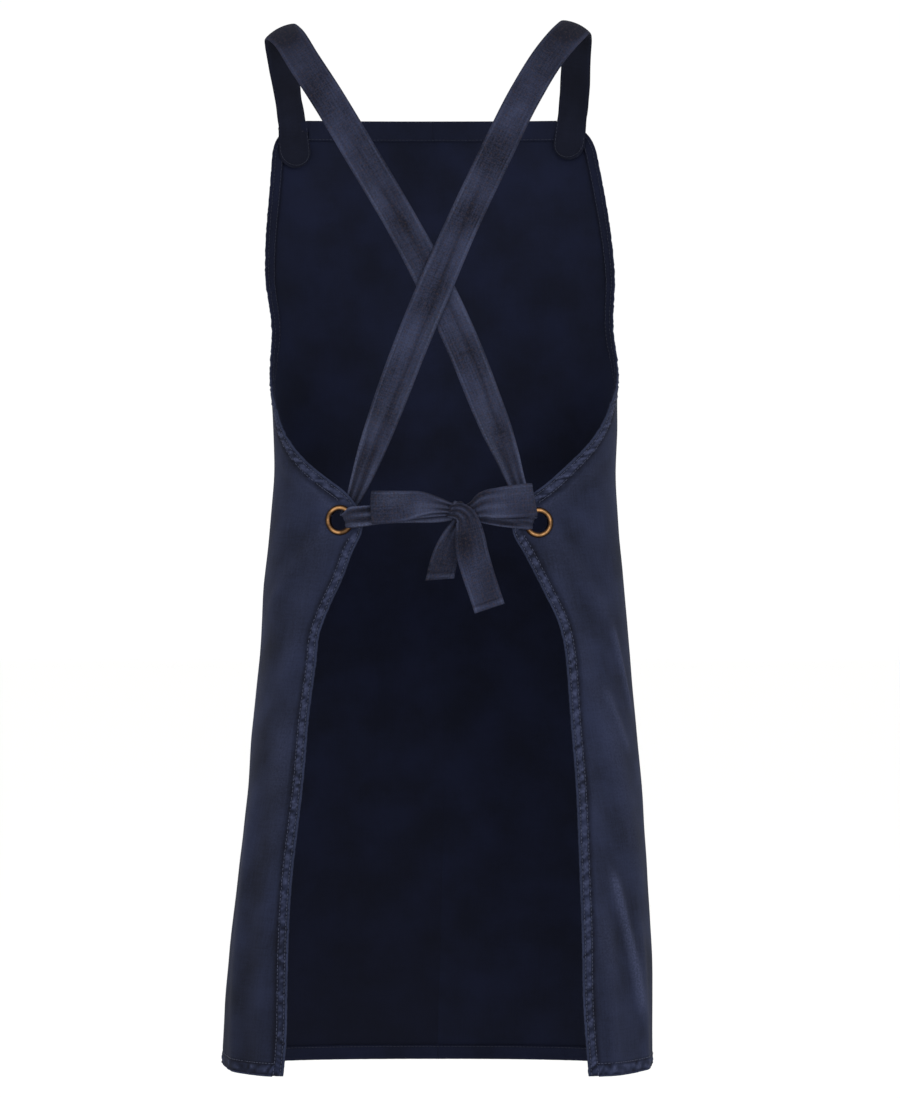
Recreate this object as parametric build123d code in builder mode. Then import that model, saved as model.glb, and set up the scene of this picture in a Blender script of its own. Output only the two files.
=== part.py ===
from build123d import *
import os
from collections import namedtuple
from math import copysign, cos, radians, sin

# Cross-back canvas apron, in the shape it has when it is worn and tied.
# Millimetres. +Z is up, +Y is the wearer's front and +X the wearer's right.
# The origin lies midway between the shoulders, where the straps rest, so every
# height on the apron is a drop below it and is negative.

os.makedirs("parts", exist_ok=True)

# ---- Driving dimensions ----

cloth = 1.0  # heavy cotton canvas
hem_fold = 1.6  # the turned layers that lie behind a hem
fold_gap = 0.25  # between the cloth and its turned layers
side_hem = 11.0  # hem width on armholes and back edges
bottom_hem = 14.0
top_hem = 20.0

bib_top = -83.0
hem_drop = -1035.0
bib_corner = 33.0  # corner radius of the bib
bib_half_width = 166.0

wing_split = -540.0  # below this drop the back wings hang free and swing
swing_gap = 1.4  # round a swinging wing, so that its thick edge turns clear
hem_setback = 5.0  # a wing's turned hems stop this far behind the side line
reach = 300.0  # past the whole apron, for cutting it

strap_width = 34.0
strap_thickness = 2.0
strap_bunched = 14.0  # the strap gathered up to pass through an eyelet
bunched_thickness = 3.4

eyelet_hole = 10.0  # radii
eyelet_rim = 15.0
eyelet_wall = 0.5
flange_height = 1.4
flange_rounding = 1.1
washer_rim = 14.2
washer_thickness = 1.0

knot_centre = (24.0, -109.0, -478.0)
knot_radius = 11.0
knot_depth = 18.0
knot_clearance = 1.0  # between the knot and what turns about it

# The worn shape is a stack of squared-off ovals. The lean is how far an oval's centre
# stands to the wearer's right.
Level = namedtuple("Level", "drop half_width half_depth lean")
wrap_squareness = 2.5
wrap_levels = [
    Level(-60.0, 222.0, 95.0, -6.0),
    Level(-157.0, 212.0, 97.0, -1.5),
    Level(-237.0, 196.0, 100.0, 2.0),
    Level(-317.0, 180.0, 102.0, 5.0),
    Level(-400.0, 171.5, 104.0, 8.0),
    Level(-540.0, 177.0, 108.0, 8.0),
    Level(-790.0, 197.0, 118.0, 4.0),
    Level(-1035.0, 215.5, 127.0, 0.0),
]

# The free edge of each back wing, as half the opening between the wings at each drop.
wing_edge = [
    (74.0, -494.0),
    (86.0, -521.0),
    (111.0, -572.0),
    (124.0, -631.0),
    (132.6, -722.0),
    (142.6, -861.0),
    (151.0, -1045.0),
]
wing_edge_lean = 2.0

# The bib's side edge, as how far in front of the body's side line it runs.
bib_edge = [(0.0, -375.0), (36.0, -317.0), (54.6, -237.0), (68.8, -157.0), (76.0, -70.0)]

# Each armhole is a flat cut through the wrapped cloth: it starts on the side line at
# this drop, and falls towards the centre and towards the back.
armhole_start = -372.0
armhole_slope_in = 0.47
armhole_slope_back = 0.58


# ---- The wrapped cloth ----


def level_at(drop):
    """The oval at any drop, on straight lines between the given levels."""
    for upper, lower in zip(wrap_levels, wrap_levels[1:]):
        if lower.drop <= drop <= upper.drop:
            share = (upper.drop - drop) / (upper.drop - lower.drop)
            return Level(*[a + share * (b - a) for a, b in zip(upper, lower)])
    raise ValueError("drop outside the apron")


def wrap_point(level, angle, inset=0.0):
    """Point on an oval; the angle turns from the right side (0) over the front (90)."""
    across, along = cos(radians(angle)), sin(radians(angle))
    power = 2 / wrap_squareness
    x = level.lean + copysign(abs(across) ** power, across) * (level.half_width - inset)
    y = copysign(abs(along) ** power, along) * (level.half_depth - inset)
    return (x, y)


def cloth_wall(top, bottom, start, end, inset=0.0, thickness=cloth):
    """Curved wall of cloth between two drops and two angles, straight between levels."""
    inner_levels = [level for level in wrap_levels if bottom < level.drop < top]
    levels = [level_at(top)] + inner_levels + [level_at(bottom)]
    steps = 18
    angles = [start + (end - start) * step / steps for step in range(steps + 1)]
    with BuildPart() as wall:
        for level in levels:
            with BuildSketch(Plane.XY.offset(level.drop)):
                with BuildLine():
                    outside = Spline(*[wrap_point(level, angle, inset) for angle in angles])
                    inside = Spline(
                        *[wrap_point(level, angle, inset + thickness) for angle in angles[::-1]]
                    )
                    Line(outside @ 1, inside @ 0)
                    Line(inside @ 1, outside @ 0)
                make_face()
        loft(ruled=True)
    return wall.part


def wrap_depth(x, drop):
    """Distance of the outer face in front of, or behind, the side line at one x and drop."""
    level = level_at(drop)
    share = abs(x - level.lean) / level.half_width
    return level.half_depth * (1 - share**wrap_squareness) ** (1 / wrap_squareness)


def wrap_normal(x, drop, front):
    """Outward normal at one x and drop, from how the depth changes about that point."""
    step = 0.5
    across = (wrap_depth(x + step, drop) - wrap_depth(x - step, drop)) / (2 * step)
    down = (wrap_depth(x, drop + step) - wrap_depth(x, drop - step)) / (2 * step)
    return Vector(-across, 1 if front else -1, -down).normalized()


def armhole_plane(side, below=0.0):
    """Cutting plane of one armhole, facing up and out of the wing."""
    level = level_at(armhole_start)
    normal = Vector(-side * armhole_slope_in, -armhole_slope_back, 1).normalized()
    start = Vector(level.lean + side * level.half_width, 0, armhole_start) - normal * below
    return Plane(origin=start, z_dir=normal)


def front_of_bib_edge(margin=0.0):
    """Side view of what lies in front of the bib's side edge, down to the hem."""
    with BuildSketch(Plane.YZ, mode=Mode.PRIVATE) as region:
        with BuildLine():
            edge = Spline(*[(y + margin, z) for y, z in bib_edge])
            Polyline(
                edge @ 1,
                (reach, bib_edge[-1][1]),
                (reach, hem_drop - 10),
                (margin, hem_drop - 10),
                edge @ 0,
            )
        make_face()
    return region.sketch


def outside_wing_edge(side, margin=0.0):
    """Back view of what lies outside one wing's free edge."""
    with BuildSketch(Plane.XZ, mode=Mode.PRIVATE) as region:
        with BuildLine():
            edge = Spline(*[(side * (x + margin) + wing_edge_lean, z) for x, z in wing_edge])
            Polyline(
                edge @ 1,
                (side * reach, wing_edge[-1][1]),
                (side * reach, bib_top),
                (side * (wing_edge[0][0] + margin) + wing_edge_lean, bib_top),
                edge @ 0,
            )
        make_face()
    return region.sketch


def bib_corners():
    """Front view of the two corners that are rounded off the bib."""
    with BuildSketch(Plane.XZ, mode=Mode.PRIVATE) as corners:
        for side in (-1, 1):
            edge = level_at(bib_top).lean + side * bib_half_width
            with BuildLine():
                arc = RadiusArc(
                    (edge - side * bib_corner, bib_top),
                    (edge, bib_top - bib_corner),
                    side * bib_corner,
                )
                Polyline(
                    arc @ 1,
                    (side * reach, bib_top - bib_corner),
                    (side * reach, bib_top + bib_corner),
                    (edge - side * bib_corner, bib_top + bib_corner),
                    arc @ 0,
                )
            make_face()
    return corners.sketch


def finish(name, piece):
    """Labels a finished piece and writes it."""
    piece.label = name
    export_step(piece, f"parts/{name}.step")


# The front of the body: bib and skirt in one piece of canvas, from side to side.
front_wall = cloth_wall(bib_top, hem_drop, 0, 180)
with BuildPart() as front_panel:
    add(front_wall)
    extrude(front_of_bib_edge(), amount=reach, both=True, mode=Mode.INTERSECT)
    extrude(bib_corners(), amount=reach, both=True, mode=Mode.SUBTRACT)
finish("front_panel", front_panel.part)

# The turned layers inside the front panel: along the bib's top, down each side of the
# bib, and along the bottom.
hem_inset = cloth + fold_gap
top_wall = cloth_wall(bib_top, bib_top - top_hem, 0, 180, hem_inset, hem_fold)
with BuildPart() as bib_top_hem:
    add(top_wall)
    extrude(front_of_bib_edge(), amount=reach, both=True, mode=Mode.INTERSECT)
    extrude(bib_corners(), amount=reach, both=True, mode=Mode.SUBTRACT)
finish("bib_top_hem", bib_top_hem.part)

side_hem_top = bib_top - top_hem - fold_gap - 14
bib_edge_wall = cloth_wall(bib_top - bib_corner, armhole_start, 0, 180, hem_inset, hem_fold)
for side, wearer_side in ((-1, "left"), (1, "right")):
    with BuildPart() as bib_side_hem:
        add(bib_edge_wall)
        extrude(front_of_bib_edge(), amount=reach, both=True, mode=Mode.INTERSECT)
        extrude(front_of_bib_edge(side_hem), amount=reach, both=True, mode=Mode.SUBTRACT)
        split(bisect_by=Plane(origin=(0, 0, 0), z_dir=(side, 0, 0)))
        split(bisect_by=Plane(origin=(0, 0, side_hem_top), z_dir=(0, 0, -1)))
    finish(f"{wearer_side}_bib_side_hem", bib_side_hem.part)

front_hem_wall = cloth_wall(hem_drop + bottom_hem, hem_drop, 3, 177, hem_inset, hem_fold)
with BuildPart() as front_bottom_hem:
    add(front_hem_wall)
finish("front_bottom_hem", front_bottom_hem.part)


# ---- The back wings ----

# Above the split each wing stays with the front panel, because its eyelet is tied.
# Below it the wing swings about the body's side line.


def eyelet_plane(side):
    """Plane of one eyelet: centred on the wing's outer face and facing outwards."""
    x, drop = {-1: (-96.0, -487.5), 1: (99.5, -490.0)}[side]
    return Plane(
        origin=(x, -wrap_depth(x, drop), drop),
        x_dir=(0, 0, 1),
        z_dir=wrap_normal(x, drop, front=False),
    )


def wing_angles(side):
    """Start and end angle of one wing's wall, which reaches past its free edge."""
    return (180, 262) if side < 0 else (-82, 0)


eyelet_clearance = 0.4
hole_depth = 12.0  # past the cloth, for cutting holes in it
wall_overlap = 15.0  # the wings' walls start above the armholes that trim them
for side, wearer_side in ((-1, "left"), (1, "right")):
    eyelet = eyelet_plane(side)
    upper_wall = cloth_wall(armhole_start + wall_overlap, wing_split, *wing_angles(side))
    with BuildPart() as back_wing:
        add(upper_wall)
        split(bisect_by=armhole_plane(side), keep=Keep.BOTTOM)
        extrude(outside_wing_edge(side), amount=reach, both=True, mode=Mode.INTERSECT)
        with BuildSketch(eyelet):
            Circle(eyelet_hole + eyelet_wall + eyelet_clearance)
        extrude(amount=hole_depth, both=True, mode=Mode.SUBTRACT)
    finish(f"{wearer_side}_back_wing", back_wing.part)

    upper_fold = cloth_wall(
        armhole_start + wall_overlap, wing_split, *wing_angles(side), hem_inset, hem_fold
    )
    with BuildPart() as armhole_hem:
        add(upper_fold)
        split(bisect_by=armhole_plane(side), keep=Keep.BOTTOM)
        split(bisect_by=armhole_plane(side, side_hem), keep=Keep.TOP)
        extrude(outside_wing_edge(side), amount=reach, both=True, mode=Mode.INTERSECT)
        with BuildSketch(eyelet):
            Circle(eyelet_rim + eyelet_clearance)
        extrude(amount=hole_depth, both=True, mode=Mode.SUBTRACT)
    finish(f"{wearer_side}_armhole_hem", armhole_hem.part)

    with BuildPart() as wing_edge_hem:
        add(upper_fold)
        split(bisect_by=armhole_plane(side, side_hem + fold_gap), keep=Keep.BOTTOM)
        extrude(outside_wing_edge(side), amount=reach, both=True, mode=Mode.INTERSECT)
        extrude(outside_wing_edge(side, side_hem), amount=reach, both=True, mode=Mode.SUBTRACT)
        split(bisect_by=Plane.XZ.offset(-hem_setback), keep=Keep.TOP)
        with BuildSketch(eyelet):
            Circle(eyelet_rim + eyelet_clearance)
        extrude(amount=hole_depth, both=True, mode=Mode.SUBTRACT)
    finish(f"{wearer_side}_wing_edge_hem", wing_edge_hem.part)

    skirt_wall = cloth_wall(wing_split - swing_gap, hem_drop, *wing_angles(side))
    with BuildPart() as skirt_wing:
        add(skirt_wall)
        extrude(outside_wing_edge(side), amount=reach, both=True, mode=Mode.INTERSECT)
        split(bisect_by=Plane.XZ.offset(swing_gap), keep=Keep.TOP)
    finish(f"{wearer_side}_skirt_wing", skirt_wing.part)

    skirt_fold = cloth_wall(
        wing_split - 2 * swing_gap,
        hem_drop + bottom_hem + fold_gap,
        *wing_angles(side),
        hem_inset,
        hem_fold,
    )
    with BuildPart() as skirt_edge_hem:
        add(skirt_fold)
        extrude(outside_wing_edge(side), amount=reach, both=True, mode=Mode.INTERSECT)
        extrude(outside_wing_edge(side, side_hem), amount=reach, both=True, mode=Mode.SUBTRACT)
        split(bisect_by=Plane.XZ.offset(hem_setback), keep=Keep.TOP)
    finish(f"{wearer_side}_skirt_edge_hem", skirt_edge_hem.part)

    skirt_base = cloth_wall(
        hem_drop + bottom_hem, hem_drop, *wing_angles(side), hem_inset, hem_fold
    )
    with BuildPart() as skirt_bottom_hem:
        add(skirt_base)
        extrude(outside_wing_edge(side), amount=reach, both=True, mode=Mode.INTERSECT)
        split(bisect_by=Plane.XZ.offset(hem_setback), keep=Keep.TOP)
    finish(f"{wearer_side}_skirt_bottom_hem", skirt_bottom_hem.part)


# ---- Eyelets ----

# A flange with its barrel goes in from outside. The barrel is rolled over a washer on
# the inside, which clamps the cloth. The cloth curves, so the washer sits a little off.
seat_gap = 0.1
washer_drop = cloth + 0.9
for side, wearer_side in ((-1, "left"), (1, "right")):
    eyelet = eyelet_plane(side)
    with BuildPart() as flange:
        with BuildSketch(eyelet.offset(seat_gap)):
            Circle(eyelet_rim)
        extrude(amount=flange_height)
        outer_edges = flange.edges().group_by(lambda edge: eyelet.to_local_coords(edge).center().Z)
        fillet(outer_edges[-1], flange_rounding)
        with BuildSketch(eyelet.offset(-washer_drop - washer_thickness)):
            Circle(eyelet_hole + eyelet_wall)
        extrude(amount=washer_drop + washer_thickness + seat_gap)
        with BuildSketch(eyelet):
            Circle(eyelet_hole)
        extrude(amount=hole_depth, both=True, mode=Mode.SUBTRACT)
    finish(f"{wearer_side}_eyelet", flange.part)

    with BuildPart() as washer:
        with BuildSketch(eyelet.offset(-washer_drop - washer_thickness)):
            Circle(washer_rim)
            Circle(eyelet_hole + eyelet_wall + 0.05, mode=Mode.SUBTRACT)
        extrude(amount=washer_thickness)
    finish(f"{wearer_side}_eyelet_washer", washer.part)


# ---- Straps ----


def ribbon(stations):
    """Flat strap through stations of centre, width direction, width and thickness."""
    centres = [Vector(*centre) for centre, across, width, thickness in stations]
    with BuildPart() as strap:
        for index, (centre, across, width, thickness) in enumerate(stations):
            before = centres[max(index - 1, 0)]
            after = centres[min(index + 1, len(centres) - 1)]
            along = (after - before).normalized()
            square = Vector(*across) - along * along.dot(Vector(*across))
            with BuildSketch(Plane(origin=centre, x_dir=square.normalized(), z_dir=along)):
                Rectangle(width, thickness)
        loft(ruled=True)
    return strap.part


# Each strap's rounded end lies flat on the bib's inside face. The strap leaves it at
# the bib's top, rises over the shoulder, crosses the back and ends behind an eyelet.
end_length = 44.0
end_gap = 1.1
behind_eyelet = 10.5
strap_ends = {"left": (-143.0, -122.0), "right": (136.5, -114.0)}
full = (strap_width, strap_thickness)
shoulder_routes = {
    "left": [
        ((-151, 62, -52), (0.82, 0.48, 0.1), *full),
        ((-155, 46, -28), (0.8, 0.55, 0.1), *full),
        ((-158, 22, -6), (0.82, 0.5, 0.2), *full),
        ((-157, 2, 1), (0.88, 0.2, 0.45), *full),
        ((-150, -20, -7), (0.86, 0.2, 0.5), *full),
        ((-133, -46, -34), (0.86, 0.05, 0.5), *full),
        ((-113, -66, -64), (0.86, 0, 0.5), *full),
        ((-74, -93, -133), (0.86, 0, 0.5), *full),
        ((-35, -107, -198), (0.86, 0, 0.5), *full),
        ((-1.5, -112.5, -257), (0.88, 0, 0.45), *full),
        ((22, -112, -317), (0.92, 0, 0.38), *full),
        ((43, -108, -375), (0.93, 0, 0.37), 33.0, 2.2),
        ((63, -102, -425), (0.93, 0, 0.37), 27.0, 2.6),
        ((76, -94, -452), (0.93, 0, 0.37), 20.0, 3.0),
        ((88, -87, -472), (0.93, 0, 0.37), 15.0, bunched_thickness),
    ],
    "right": [
        ((140, 62, -48), (0.86, -0.45, 0), *full),
        ((141.5, 45, -22), (0.84, -0.54, -0.05), *full),
        ((142, 22, -1), (0.85, -0.45, -0.15), *full),
        ((141, 2, 6), (0.88, -0.2, -0.45), *full),
        ((133, -18, -2), (0.86, -0.2, -0.5), *full),
        ((112, -44, -28), (0.88, -0.05, -0.48), *full),
        ((88, -66, -66), (0.89, 0, -0.45), *full),
        ((54, -95, -133), (0.91, 0, -0.42), *full),
        ((24, -110, -198), (0.91, 0, -0.42), *full),
        ((-1.5, -116.5, -257), (0.92, 0, -0.4), *full),
        ((-24, -115.5, -317), (0.93, 0, -0.38), *full),
        ((-46, -110, -375), (0.93, 0, -0.37), 33.0, 2.2),
        ((-65, -103, -425), (0.93, 0, -0.37), 27.0, 2.6),
        ((-75, -94, -450), (0.93, 0, -0.37), 20.0, 3.0),
        ((-85, -86, -470), (0.93, 0, -0.37), 15.0, bunched_thickness),
    ],
}
goes_to = {"left": 1, "right": -1}

for wearer_side, (x, drop) in strap_ends.items():
    facing = wrap_normal(x, drop, front=True)
    seat = Vector(x, wrap_depth(x, drop), drop) - facing * (hem_inset + hem_fold + end_gap)
    flat = Plane(origin=seat, x_dir=(0, 0, 1), z_dir=-facing)
    with BuildPart() as strap_end:
        with BuildSketch(flat):
            with Locations((end_length / 2, 0)):
                Rectangle(end_length, strap_width)
            Circle(strap_width / 2)
        extrude(amount=strap_thickness)
    finish(f"{wearer_side}_strap_end", strap_end.part)

    # The strap starts square to the sewn end's top edge.
    side = goes_to[wearer_side]
    eyelet = eyelet_plane(side)
    start = []
    for beyond in (fold_gap, 8.0):
        leave = flat.from_local_coords(Vector(end_length + beyond, 0, strap_thickness / 2))
        start.append((tuple(leave), tuple(flat.y_dir), *full))
    inside = eyelet.origin - eyelet.z_dir * behind_eyelet
    last = (
        (inside.X, inside.Y, inside.Z + 2),
        (1, 0, 0.35 * side),
        strap_bunched,
        bunched_thickness,
    )
    strap = ribbon(start + shoulder_routes[wearer_side] + [last])
    with BuildPart() as shoulder_strap:
        add(strap)
    finish(f"{wearer_side}_shoulder_strap", shoulder_strap.part)


# ---- Ties, knot and bow ----

# The gathered strap comes out through the eyelet and runs flat to the knot.
plug_radius = 7.0
plug_inside = 6.0
tie_gap = 1.2  # from the eyelet's barrel, and from the knot
for side, wearer_side in ((-1, "left"), (1, "right")):
    eyelet = eyelet_plane(side)
    outside = eyelet.origin + eyelet.z_dir * 8.5
    knot_side = (knot_centre[0] + side * (knot_radius + tie_gap), -104.5, knot_centre[2] - 1)
    across_eyelet = eyelet.origin.X - side * 13
    run = ribbon(
        [
            ((outside.X + side * 4, outside.Y + 0.5, outside.Z), (0, 0, 1), 12.0, 2.4),
            ((across_eyelet, -104.5, outside.Z + 1), (0, 0, 1), 15.0, 2.4),
            (knot_side, (0, 0, 1), 15.0, 2.4),
        ]
    )
    with BuildPart() as tie:
        add(run)
        with BuildSketch(eyelet.offset(-plug_inside)):
            Circle(plug_radius)
        extrude(amount=plug_inside + 8.0)
    finish(f"{wearer_side}_tie", tie.part)

# The knot is a drum about the axis that the loops and tails turn on.

def bow_layer(depth, tilt=0.0):
    """Plane facing the back, with its origin on the knot's axis and tilted about it."""
    return Plane(
        origin=(knot_centre[0], depth, knot_centre[2]),
        x_dir=(cos(radians(tilt)), 0, sin(radians(tilt))),
        z_dir=(0, -1, 0),
    )


with BuildPart() as bow_knot:
    with BuildSketch(bow_layer(knot_centre[1] + knot_depth / 2)):
        Circle(knot_radius)
    extrude(amount=knot_depth)
    fillet(bow_knot.edges().filter_by(GeomType.CIRCLE), 3.0)
finish("bow_knot", bow_knot.part)


# Each loop is the strap doubled back on itself, narrow where the knot grips it. The
# right one stands up a little. Outlines run from the knot outwards, above then below.
loop_depth = -111.2
loop_thickness = 4.0
grip = knot_radius + knot_clearance
loop_outlines = {
    "left": ([(-grip, 5), (-40, 19), (-89, 19)], [(-89, -15), (-40, -10), (-grip, -6)]),
    "right": ([(grip, 5), (37, 22), (72, 25)], [(74, -2), (37, -6), (grip, -7)]),
}
for wearer_side, (above, below) in loop_outlines.items():
    with BuildPart() as bow_loop:
        with BuildSketch(bow_layer(loop_depth)):
            with BuildLine():
                upper = Spline(*above)
                lower = Spline(*below)
                Line(upper @ 1, lower @ 0)
                Line(lower @ 1, upper @ 0)
            make_face()
            Circle(grip, mode=Mode.SUBTRACT)
        extrude(amount=loop_thickness)
    finish(f"{wearer_side}_bow_loop", bow_loop.part)

# The tails hang from the knot, narrow where it grips them, and each ends in a small
# turned hem. The left one is behind the loops and the right one is in front.
Tail = namedtuple("Tail", "depth length tilt width")
tails = {
    "left": Tail(depth=-107.6, length=74.0, tilt=-20.0, width=26.0),
    "right": Tail(depth=-116.2, length=104.0, tilt=16.5, width=31.0),
}
tail_hem = 7.0
tail_thickness = 2.0
tail_neck = 12.0
for wearer_side, tail in tails.items():
    layer = bow_layer(tail.depth, tail.tilt)
    hem_line = tail_hem - tail.length + fold_gap
    with BuildPart() as bow_tail:
        with BuildSketch(layer):
            with BuildLine():
                Polyline(
                    (-tail_neck / 2, -grip - 1),
                    (-tail.width / 2, -grip - 26),
                    (-tail.width / 2, hem_line),
                    (tail.width / 2, hem_line),
                    (tail.width / 2, -grip - 26),
                    (tail_neck / 2, -grip - 1),
                    close=True,
                )
            make_face()
        extrude(amount=tail_thickness)
    finish(f"{wearer_side}_bow_tail", bow_tail.part)

    with BuildPart() as tail_end_hem:
        with BuildSketch(layer.offset(-0.4)):
            with Locations((0, tail_hem / 2 - tail.length)):
                Rectangle(tail.width, tail_hem)
        extrude(amount=tail_thickness + 0.8)
    finish(f"{wearer_side}_tail_hem", tail_end_hem.part)
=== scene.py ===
import bpy
import numpy as np
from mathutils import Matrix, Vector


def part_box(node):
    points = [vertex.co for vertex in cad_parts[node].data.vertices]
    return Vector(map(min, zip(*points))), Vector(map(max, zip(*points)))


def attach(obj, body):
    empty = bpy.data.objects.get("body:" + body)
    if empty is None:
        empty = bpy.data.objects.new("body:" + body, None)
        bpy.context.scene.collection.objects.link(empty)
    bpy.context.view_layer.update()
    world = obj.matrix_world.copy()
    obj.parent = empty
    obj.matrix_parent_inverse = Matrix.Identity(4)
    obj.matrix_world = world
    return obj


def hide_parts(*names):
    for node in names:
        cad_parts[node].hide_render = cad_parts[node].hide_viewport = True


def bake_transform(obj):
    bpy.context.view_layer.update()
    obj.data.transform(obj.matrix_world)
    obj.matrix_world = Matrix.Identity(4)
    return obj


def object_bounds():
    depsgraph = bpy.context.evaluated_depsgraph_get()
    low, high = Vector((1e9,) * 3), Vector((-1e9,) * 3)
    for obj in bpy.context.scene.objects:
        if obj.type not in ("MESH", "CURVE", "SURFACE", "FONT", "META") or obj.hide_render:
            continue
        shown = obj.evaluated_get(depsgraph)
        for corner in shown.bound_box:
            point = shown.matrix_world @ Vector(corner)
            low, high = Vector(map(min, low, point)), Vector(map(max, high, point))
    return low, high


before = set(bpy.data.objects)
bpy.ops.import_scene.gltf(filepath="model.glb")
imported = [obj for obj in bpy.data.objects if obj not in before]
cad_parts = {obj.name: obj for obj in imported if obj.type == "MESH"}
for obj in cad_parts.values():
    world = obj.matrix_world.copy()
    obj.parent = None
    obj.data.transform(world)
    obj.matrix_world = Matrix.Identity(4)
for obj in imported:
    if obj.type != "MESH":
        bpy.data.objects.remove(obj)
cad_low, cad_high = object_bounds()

mm = 0.001


# ---- Camera ----
# A long lens looks square on at the apron's open back, from chest height, with the
# shoulders and the hem just inside the view, which is 1098 mm high at the apron.
far_back = 6.4
view_height = 1.098
camera_data = bpy.data.cameras.new("camera")
camera_data.lens = camera_data.sensor_width * far_back / view_height
camera = bpy.data.objects.new("camera", camera_data)
camera.location = (0.0125, -far_back, -0.516)
camera.rotation_euler = (np.pi / 2, 0, 0)
bpy.context.scene.collection.objects.link(camera)
bpy.context.scene.camera = camera


# ---- Floor and light ----
# A plain pale studio: a painted floor below the hanging apron, bright air all round it,
# and two large soft boxes behind the camera, the stronger one on the right.
floor_drop = cad_low.z - 0.28
floor_reach = 40.0


def linear(hex_colour, alpha=1.0):
    """Linear colour of an sRGB hex value, by the standard's two-part curve."""
    shares = np.array([int(hex_colour[i : i + 2], 16) for i in (1, 3, 5)]) / 255
    curved = np.where(shares <= 0.04045, shares / 12.92, ((shares + 0.055) / 1.055) ** 2.4)
    return (*curved, alpha)


def add(tree, kind, inputs=None, out=0, **settings):
    """One node with its settings, whose inputs are set to values or linked from sockets. It
    gives back one of the node's outputs, the first unless another is named."""
    node = tree.nodes.new("ShaderNode" + kind)
    for name, value in settings.items():
        setattr(node, name, value)
    for name, value in (inputs or {}).items():
        if isinstance(value, bpy.types.NodeSocket):
            tree.links.new(value, node.inputs[name])
        else:
            node.inputs[name].default_value = value
    return node.outputs[out] if node.outputs else None


def new_material(name):
    """An empty material, and its tree with an output waiting for a surface."""
    material = bpy.data.materials.new(name)
    material.use_nodes = True
    material.node_tree.nodes.clear()
    return material, material.node_tree


# Matt floor paint, rolled on: an even pale coat with a very faint stipple.
floor_paint, tree = new_material("matt_floor_paint")
where = add(tree, "TexCoord", out="Object")
stipple = add(tree, "TexNoise", {"Vector": where, "Scale": 1 / (10 / 3 * mm)})
bump = add(tree, "Bump", {"Height": stipple, "Strength": 0.1, "Distance": 0.3 * mm})
paint = {"Base Color": linear("#fdfdfc"), "Roughness": 0.9, "Normal": bump}
shader = add(tree, "BsdfPrincipled", paint)
add(tree, "OutputMaterial", {"Surface": shader})

floor_mesh = bpy.data.meshes.new("floor")
floor_corners = np.array([(-1, -1, 0), (1, -1, 0), (1, 1, 0), (-1, 1, 0)]) * floor_reach
floor_corners[:, 2] = floor_drop
floor_mesh.from_pydata(floor_corners.tolist(), [], [(0, 1, 2, 3)])
floor_mesh.materials.append(floor_paint)
floor = bpy.data.objects.new("floor", floor_mesh)
bpy.context.scene.collection.objects.link(floor)

world = bpy.data.worlds.new("studio_air")
world.use_nodes = True
air = world.node_tree.nodes["Background"]
air.inputs["Color"].default_value = (1.0, 1.0, 1.0, 1.0)
air.inputs["Strength"].default_value = 1.02
bpy.context.scene.world = world
bpy.context.scene.view_settings.view_transform = "Standard"

lit_point = np.array([0.0, 0.0, -0.5])
for name, place, size, power in (
    ("soft_box_left", (-2.6, -4.6, 1.6), 2.4, 62.0),
    ("soft_box_right", (2.8, -4.4, 1.2), 2.2, 100.0),
):
    lamp_data = bpy.data.lights.new(name, "AREA")
    lamp_data.size = size
    lamp_data.energy = power
    lamp = bpy.data.objects.new(name, lamp_data)
    aim = lit_point - np.array(place)
    tilt = np.arctan2(np.hypot(aim[0], aim[1]), -aim[2])
    lamp.location = place
    lamp.rotation_euler = (tilt, 0, np.arctan2(-aim[0], aim[1]))
    bpy.context.scene.collection.objects.link(lamp)


# ---- Canvas body ----
# The body is one cut of washed navy cotton canvas, about a millimetre thick: bib, front
# and the two wings that wrap to the back. Worn, it hangs as a squared-off oval that
# flares to the hem. It is made here in two halves, which meet down the centre front.
canvas = 1.0 * mm
bib_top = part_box("front_panel")[1].z
hem_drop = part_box("front_panel")[0].z
bib_corner = 33 * mm
side_band = 11 * mm
bottom_band = 14 * mm
top_band = 20 * mm
# The outer row of stitches is this far from the edge, the inner one from the band's inside.
outer_row, inner_row = 2.0 * mm, 1.8 * mm

# Drop, half width, half depth, and how far the oval stands to the right.
ovals = np.array([
    (-60, 222, 95, -6),
    (-110, 217, 96, -4.5),
    (-157, 212, 97, -1.5),
    (-237, 196, 100, 2),
    (-317, 180, 102, 5),
    (-357, 173.5, 103, 6.5),
    (-400, 171.5, 104, 8),
    (-440, 170.5, 105, 8),
    (-500, 174.5, 106.5, 7.5),
    (-560, 179.5, 109, 8),
    (-620, 184, 112, 8.5),
    (-680, 190, 114.5, 7.5),
    (-760, 197.5, 117, 7),
    (-840, 204.5, 120, 5),
    (-920, 210.5, 123, 3),
    (-1000, 214, 126, 0.5),
    (-1050, 216, 127, 0),
])[::-1] * mm
squareness = 2.5

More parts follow.
